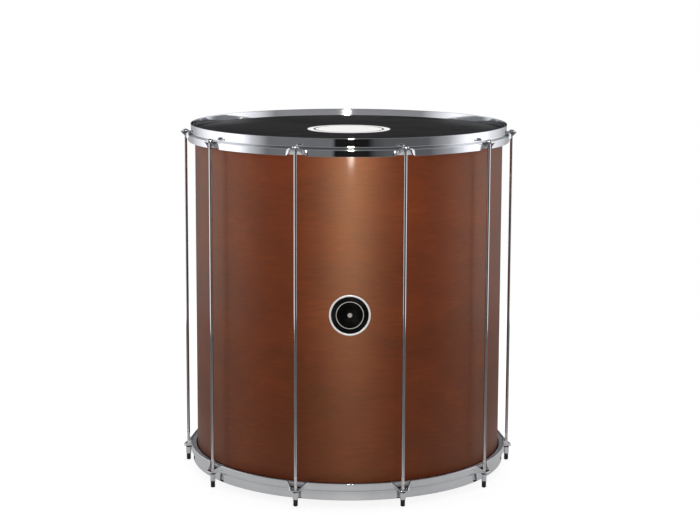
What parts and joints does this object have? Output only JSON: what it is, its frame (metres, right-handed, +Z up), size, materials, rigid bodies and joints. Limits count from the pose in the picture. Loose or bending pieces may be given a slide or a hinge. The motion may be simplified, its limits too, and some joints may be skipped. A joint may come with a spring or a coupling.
{
  "type": "surdo drum",
  "caption": "Large upright samba bass drum: stained wood shell, a skin at each end, pressed steel hoops with ears, long tension rods with nuts, and rubber caps it stands on.",
  "frame": {"origin": "centre of the drum on the floor, midway between the foot caps, at the underside of the caps", "axes": "+Z up along the drum axis, -Y towards the front where the badge is, +X to the right seen from the front"},
  "size_m": [0.5558, 0.5332, 0.576],
  "materials": {
    "stained_shell": "satin reddish-brown stain with fine level grain",
    "black_skin": "matt black coated skin, fine pebble",
    "flesh_hoop": "plain satin aluminium",
    "chromed_hoop": "bright chrome on pressed steel",
    "rod_steel": "bright chrome on drawn steel",
    "nut_steel": "bright plated steel",
    "washer_nylon": "black nylon",
    "cap_rubber": "black rubber",
    "badge_metal": "polished metal",
    "badge_enamel": "glossy black enamel"
  },
  "bodies": {
    "drum": {"shell": "stained_shell", "playing_head": "black_skin", "top_flesh_hoop": "flesh_hoop", "top_hoop": "chromed_hoop", "resonant_head": "black_skin", "bottom_flesh_hoop": "flesh_hoop", "bottom_hoop": "chromed_hoop", "badge_rim": "badge_metal", "badge_face": "badge_enamel", "tension_rod_01": "rod_steel", "tension_rod_02": "rod_steel", "tension_rod_03": "rod_steel", "tension_rod_04": "rod_steel", "tension_rod_05": "rod_steel", "tension_rod_06": "rod_steel", "tension_rod_07": "rod_steel", "tension_rod_08": "rod_steel", "tension_rod_09": "rod_steel", "tension_rod_10": "rod_steel", "nut_washer_01": "washer_nylon", "nut_washer_02": "washer_nylon", "nut_washer_03": "washer_nylon", "nut_washer_04": "washer_nylon", "nut_washer_05": "washer_nylon", "nut_washer_06": "washer_nylon", "nut_washer_07": "washer_nylon", "nut_washer_08": "washer_nylon", "nut_washer_09": "washer_nylon", "nut_washer_10": "washer_nylon", "foot_cap_01": "cap_rubber", "foot_cap_02": "cap_rubber", "foot_cap_03": "cap_rubber", "foot_cap_04": "cap_rubber", "foot_cap_05": "cap_rubber", "foot_cap_06": "cap_rubber", "foot_cap_07": "cap_rubber", "foot_cap_08": "cap_rubber", "foot_cap_09": "cap_rubber", "foot_cap_10": "cap_rubber"},
    "nut_01": {"tuning_nut_01": "nut_steel"},
    "nut_02": {"tuning_nut_02": "nut_steel"},
    "nut_03": {"tuning_nut_03": "nut_steel"},
    "nut_04": {"tuning_nut_04": "nut_steel"},
    "nut_05": {"tuning_nut_05": "nut_steel"},
    "nut_06": {"tuning_nut_06": "nut_steel"},
    "nut_07": {"tuning_nut_07": "nut_steel"},
    "nut_08": {"tuning_nut_08": "nut_steel"},
    "nut_09": {"tuning_nut_09": "nut_steel"},
    "nut_10": {"tuning_nut_10": "nut_steel"}
  },
  "joints": [
    {"name": "nut_01_turn", "type": "hinge", "parent": "drum", "child": "nut_01", "pos_m": [0.08353, -0.25707, 0.01655], "axis": [0, 0, 1], "continuous": true},
    {"name": "nut_02_turn", "type": "hinge", "parent": "drum", "child": "nut_02", "pos_m": [0.21868, -0.15888, 0.01655], "axis": [0, 0, 1], "continuous": true},
    {"name": "nut_03_turn", "type": "hinge", "parent": "drum", "child": "nut_03", "pos_m": [0.2703, 0, 0.01655], "axis": [0, 0, 1], "continuous": true},
    {"name": "nut_04_turn", "type": "hinge", "parent": "drum", "child": "nut_04", "pos_m": [0.21868, 0.15888, 0.01655], "axis": [0, 0, 1], "continuous": true},
    {"name": "nut_05_turn", "type": "hinge", "parent": "drum", "child": "nut_05", "pos_m": [0.08353, 0.25707, 0.01655], "axis": [0, 0, 1], "continuous": true},
    {"name": "nut_06_turn", "type": "hinge", "parent": "drum", "child": "nut_06", "pos_m": [-0.08353, 0.25707, 0.01655], "axis": [0, 0, 1], "continuous": true},
    {"name": "nut_07_turn", "type": "hinge", "parent": "drum", "child": "nut_07", "pos_m": [-0.21868, 0.15888, 0.01655], "axis": [0, 0, 1], "continuous": true},
    {"name": "nut_08_turn", "type": "hinge", "parent": "drum", "child": "nut_08", "pos_m": [-0.2703, 0, 0.01655], "axis": [0, 0, 1], "continuous": true},
    {"name": "nut_09_turn", "type": "hinge", "parent": "drum", "child": "nut_09", "pos_m": [-0.21868, -0.15888, 0.01655], "axis": [0, 0, 1], "continuous": true},
    {"name": "nut_10_turn", "type": "hinge", "parent": "drum", "child": "nut_10", "pos_m": [-0.08353, -0.25707, 0.01655], "axis": [0, 0, 1], "continuous": true}
  ]
}
